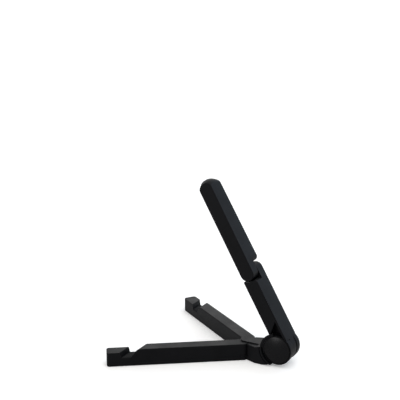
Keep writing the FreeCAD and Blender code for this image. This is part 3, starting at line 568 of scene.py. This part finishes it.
def ribBar(tree, along, radius):
    # Round bar, centred, along a vector
    half = put(tree, "ShaderNodeVectorMath", operation="SCALE")
    half.inputs["Scale"].default_value = 0.5
    tree.links.new(along, half.inputs[0])
    back = put(tree, "ShaderNodeVectorMath", operation="SCALE")
    back.inputs["Scale"].default_value = -0.5
    tree.links.new(along, back.inputs[0])
    line = put(tree, "GeometryNodeCurvePrimitiveLine", mode="POINTS")
    tree.links.new(back.outputs[0], line.inputs["Start"])
    tree.links.new(half.outputs[0], line.inputs["End"])
    ring = put(tree, "GeometryNodeCurvePrimitiveCircle", mode="RADIUS")
    ring.inputs["Resolution"].default_value = ribSides
    tree.links.new(radius, ring.inputs["Radius"])
    bar = put(tree, "GeometryNodeCurveToMesh")
    tree.links.new(line.outputs[0], bar.inputs["Curve"])
    tree.links.new(ring.outputs[0], bar.inputs["Profile Curve"])
    bar.inputs["Fill Caps"].default_value = True
    return bar.outputs[0]


def makeRibRow():
    tree, given, made = newTree("ribRow", "GeometryNodeTree", [
        ("INPUT", "Pad", "NodeSocketGeometry", None),
        ("INPUT", "Count", "NodeSocketInt", 4),
        ("INPUT", "Start", "NodeSocketVector", None),
        ("INPUT", "Step", "NodeSocketVector", None),
        ("INPUT", "Rib", "NodeSocketVector", None),
        ("INPUT", "Rib Radius", "NodeSocketFloat", 0.0006),
        ("INPUT", "Finish", "NodeSocketMaterial", None),
        ("OUTPUT", "Ribbed Pad", "NodeSocketGeometry", None)])
    value = given.outputs
    row = put(tree, "GeometryNodeMeshLine", mode="OFFSET")
    tree.links.new(value["Count"], row.inputs["Count"])
    tree.links.new(value["Start"], row.inputs["Start Location"])
    tree.links.new(value["Step"], row.inputs["Offset"])
    spread = put(tree, "GeometryNodeInstanceOnPoints")
    tree.links.new(row.outputs[0], spread.inputs["Points"])
    tree.links.new(ribBar(tree, value["Rib"], value["Rib Radius"]), spread.inputs["Instance"])
    both = put(tree, "GeometryNodeJoinGeometry")
    tree.links.new(spread.outputs[0], both.inputs[0])
    tree.links.new(value["Pad"], both.inputs[0])
    ended(tree, both.outputs[0], value["Finish"], made.inputs["Ribbed Pad"])
    return tree


def makeRibArc():
    # Ribs along X, spaced round an arc in the YZ plane
    tree, given, made = newTree("ribArc", "GeometryNodeTree", [
        ("INPUT", "Pad", "NodeSocketGeometry", None),
        ("INPUT", "Count", "NodeSocketInt", 6),
        ("INPUT", "Centre", "NodeSocketVector", None),
        ("INPUT", "Arc Radius", "NodeSocketFloat", 0.007),
        ("INPUT", "First Angle", "NodeSocketFloat", 0.0),
        ("INPUT", "Step Angle", "NodeSocketFloat", 0.1),
        ("INPUT", "Rib", "NodeSocketVector", None),
        ("INPUT", "Rib Radius", "NodeSocketFloat", 0.0004),
        ("INPUT", "Finish", "NodeSocketMaterial", None),
        ("OUTPUT", "Ribbed Pad", "NodeSocketGeometry", None)])
    value = given.outputs
    row = put(tree, "GeometryNodeMeshLine", mode="OFFSET")
    tree.links.new(value["Count"], row.inputs["Count"])
    number = put(tree, "GeometryNodeInputIndex").outputs[0]
    passed = mathNode(tree, "MULTIPLY", number, value["Step Angle"])
    angle = mathNode(tree, "ADD", value["First Angle"], passed)
    reach = put(tree, "ShaderNodeCombineXYZ")
    for label, operation in (("Y", "COSINE"), ("Z", "SINE")):
        part = mathNode(tree, "MULTIPLY", mathNode(tree, operation, angle), value["Arc Radius"])
        tree.links.new(part, reach.inputs[label])
    spot = put(tree, "ShaderNodeVectorMath", operation="ADD")
    tree.links.new(value["Centre"], spot.inputs[0])
    tree.links.new(reach.outputs[0], spot.inputs[1])
    bent = put(tree, "GeometryNodeSetPosition")
    tree.links.new(row.outputs[0], bent.inputs["Geometry"])
    tree.links.new(spot.outputs[0], bent.inputs["Position"])
    spread = put(tree, "GeometryNodeInstanceOnPoints")
    tree.links.new(bent.outputs[0], spread.inputs["Points"])
    tree.links.new(ribBar(tree, value["Rib"], value["Rib Radius"]), spread.inputs["Instance"])
    both = put(tree, "GeometryNodeJoinGeometry")
    tree.links.new(spread.outputs[0], both.inputs[0])
    tree.links.new(value["Pad"], both.inputs[0])
    ended(tree, both.outputs[0], value["Finish"], made.inputs["Ribbed Pad"])
    return tree


def ribbedPad(name, node, body, look, along, across, top):
    # The pad is drawn in by the ribs' height on its working side, and the ribs bring it back
    low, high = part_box(node)
    form = mergedCopy(node)
    face = high.z if top else low.z
    inward = -look["rise"] if top else look["rise"]
    for vert in form.verts:
        if abs(vert.co.z - face) < meshing["onFace"]:
            vert.co.z += inward
    softenEdges(form, look["edge"])
    piece = asObject(name, form)
    centre = (low + high) / 2
    centre.z = face - look["radius"] if top else face + look["radius"]
    step = along * look["pitch"]
    start = centre - step * (look["count"] - 1) / 2
    grown(piece, ribRow, {"Count": look["count"], "Start": start, "Step": step,
                          "Rib": across * look["length"], "Rib Radius": look["radius"],
                          "Finish": blackRubber})
    evenShading(piece)
    fit(piece, body, "black_rubber", node)


ribRow = makeRibRow()
ribArc = makeRibArc()
seatPad = {"count": 4, "pitch": 0.00205, "length": 0.0137,
           "radius": 0.00055, "rise": 0.0004, "edge": 0.00012}
legFoot = {"count": 9, "pitch": 0.0019, "length": 0.0062,
           "radius": 0.0005, "rise": 0.00025, "edge": 0.00012}
hubFoot = {"count": 5, "pitch": 0.0021, "length": 0.0118,
           "radius": 0.0005, "rise": 0.00025, "edge": 0.00012}
sideways = Vector((1, 0, 0))
lengthways = Vector((0, 1, 0))
for side in sides:
    body = f"leg_{side}"
    legLine = middleOf(f"leg_foot_{side}") - middleOf(f"leg_pivot_washer_{side}")
    legLine.z = 0
    legLine.normalize()
    squareToLeg = Vector((-legLine.y, legLine.x, 0))
    # The seat's ribs follow its slanted ends, and the foot's lie square to the leg
    ribbedPad(f"seatPad_{side}", f"leg_seat_{side}", body, seatPad, legLine, sideways, True)
    ribbedPad(f"legFoot_{side}", f"leg_foot_{side}", body, legFoot, legLine, squareToLeg, False)
ribbedPad("hubFoot", "hub_foot", "hub", hubFoot, lengthways, sideways, False)

tipPad = {"count": 6, "length": 0.0122, "radius": 0.00042, "rise": 0.0003, "edge": 0.0001,
          "margin": 0.1,  # angle between the first rib and the pad's end
          "endsFrom": 0.1, "arcWithin": (0.003, 0.0005)}


def makeTipPad():
    form = mergedCopy("tip_pad")
    # The lines square to the pad's curved faces meet at the middle of its arc
    curved = [face for face in form.faces if abs(face.normal.x) < tipPad["endsFrom"]]
    square = np.array([(face.normal.z, -face.normal.y) for face in curved])
    reach = np.einsum("ij,ij->i", square, [face.calc_center_median()[1:] for face in curved])
    middle = np.linalg.lstsq(square, reach, rcond=None)[0]
    for limit in tipPad["arcWithin"]:
        used = abs(square @ middle - reach) < limit
        middle = np.linalg.lstsq(square[used], reach[used], rcond=None)[0]
    spots = np.array([vert.co[1:] for vert in form.verts]) - middle
    away = np.linalg.norm(spots, axis=1)
    outer = away.max()
    main = math.atan2(*spots.mean(0)[::-1])
    turned = np.arctan2(spots[:, 1], spots[:, 0]) - main
    turned = (turned + math.pi) % (2 * math.pi) - math.pi
    for vert, spot, far in zip(form.verts, spots, away):
        if far > outer - meshing["onFace"]:
            vert.co[1:] = middle + spot * (1 - tipPad["rise"] / outer)
    softenEdges(form, tipPad["edge"])
    piece = asObject("tipPad", form)
    first = main + turned.min() + tipPad["margin"]
    last = main + turned.max() - tipPad["margin"]
    grown(piece, ribArc, {"Count": tipPad["count"], "Centre": Vector((0, *middle)),
                          "Arc Radius": outer - tipPad["radius"], "First Angle": first,
                          "Step Angle": (last - first) / (tipPad["count"] - 1),
                          "Rib": sideways * tipPad["length"], "Rib Radius": tipPad["radius"],
                          "Finish": blackRubber})
    form = bmesh.new()
    form.from_mesh(piece.data)
    crownTip(form)
    form.to_mesh(piece.data)
    form.free()
    evenShading(piece)
    fit(piece, "upper_arm", "black_rubber", "tip_pad")


makeTipPad()
print("rubber made")


# Floor, light and camera

floorLook = {"size": 24.0, "shade": (0.93, 0.93, 0.93), "lift": 0.24}


def seenFactor(tree):
    # 1 where a ray comes from the camera or a mirror-like surface
    path = put(tree, "ShaderNodeLightPath")
    seen = mathNode(tree, "MAXIMUM", path.outputs["Is Camera Ray"], path.outputs["Is Glossy Ray"])
    return mathNode(tree, "MAXIMUM", seen, path.outputs["Is Transmission Ray"])


def makeFloor():
    half = floorLook["size"] / 2
    mesh = bpy.data.meshes.new("floor")
    corners = [(-half, -half, 0), (half, -half, 0), (half, half, 0), (-half, half, 0)]
    mesh.from_pydata(corners, [], [(0, 1, 2, 3)])
    floor = bpy.data.objects.new("floor", mesh)
    scene.collection.objects.link(floor)
    finish = bpy.data.materials.new("paleFloor")
    finish.use_nodes = True
    tree = finish.node_tree
    tree.nodes.clear()
    matt = put(tree, "ShaderNodeBsdfDiffuse")
    matt.inputs["Color"].default_value = (*floorLook["shade"], 1)
    lift = put(tree, "ShaderNodeEmission")
    tree.links.new(mathNode(tree, "MULTIPLY", seenFactor(tree), floorLook["lift"]), lift.inputs["Strength"])
    both = put(tree, "ShaderNodeAddShader")
    tree.links.new(matt.outputs[0], both.inputs[0])
    tree.links.new(lift.outputs[0], both.inputs[1])
    tree.links.new(both.outputs[0], put(tree, "ShaderNodeOutputMaterial").inputs["Surface"])
    mesh.materials.append(finish)


studioLight = {"fill": 0.47, "suns": {
    "keySun": {"towards": (-0.25, -0.45, -0.85), "strength": 1.35, "spread": 70,
               "colour": (1, 0.985, 0.955)},
    "coolSun": {"towards": (0.85, -0.45, -0.27), "strength": 0.85, "spread": 60,
                "colour": (0.5, 0.72, 1)},
    "backSun": {"towards": (0.85, 0.46, -0.3), "strength": 0.9, "spread": 50,
                "colour": (1, 1, 1)},
    "frontSun": {"towards": (-0.9, 0.41, -0.14), "strength": 1.1, "spread": 19,
                 "colour": (1, 1, 1)}}}


def makeLight():
    world = bpy.data.worlds.new("studio")
    scene.world = world
    world.use_nodes = True
    tree = world.node_tree
    tree.nodes.clear()
    fill = put(tree, "ShaderNodeBackground")
    fill.inputs["Strength"].default_value = studioLight["fill"]
    white = put(tree, "ShaderNodeBackground")
    for shade in (fill, white):
        shade.inputs["Color"].default_value = (1, 1, 1, 1)
    blend = put(tree, "ShaderNodeMixShader")
    tree.links.new(seenFactor(tree), blend.inputs[0])
    tree.links.new(fill.outputs[0], blend.inputs[1])
    tree.links.new(white.outputs[0], blend.inputs[2])
    tree.links.new(blend.outputs[0], put(tree, "ShaderNodeOutputWorld").inputs["Surface"])
    for name, look in studioLight["suns"].items():
        lamp = bpy.data.lights.new(name, "SUN")
        lamp.energy = look["strength"]
        lamp.color = look["colour"]
        lamp.angle = math.radians(look["spread"])
        sun = bpy.data.objects.new(name, lamp)
        sun.rotation_euler = Vector(look["towards"]).to_track_quat("-Z", "Y").to_euler()
        scene.collection.objects.link(sun)


cameraView = {"azimuth": 118.26, "elevation": 14.82, "distance": 0.72309,
              "target": (0.16479, 0.0670655, 0.20067), "lens": 85.5, "sensor": 36, "farthest": 100}


def makeCamera():
    turn, rise = math.radians(cameraView["azimuth"]), math.radians(cameraView["elevation"])
    back = Vector((math.sin(turn) * math.cos(rise), -math.cos(turn) * math.cos(rise), math.sin(rise)))
    lens = bpy.data.cameras.new("camera")
    lens.lens = cameraView["lens"]
    lens.sensor_width = cameraView["sensor"]
    lens.clip_end = cameraView["farthest"]
    camera = bpy.data.objects.new("camera", lens)
    camera.location = Vector(cameraView["target"]) + back * cameraView["distance"]
    camera.rotation_euler = (-back).to_track_quat("-Z", "Y").to_euler()
    scene.collection.objects.link(camera)
    scene.camera = camera


makeFloor()
makeLight()
makeCamera()
scene.view_settings.view_transform = "Standard"
print("floor, light and camera set")
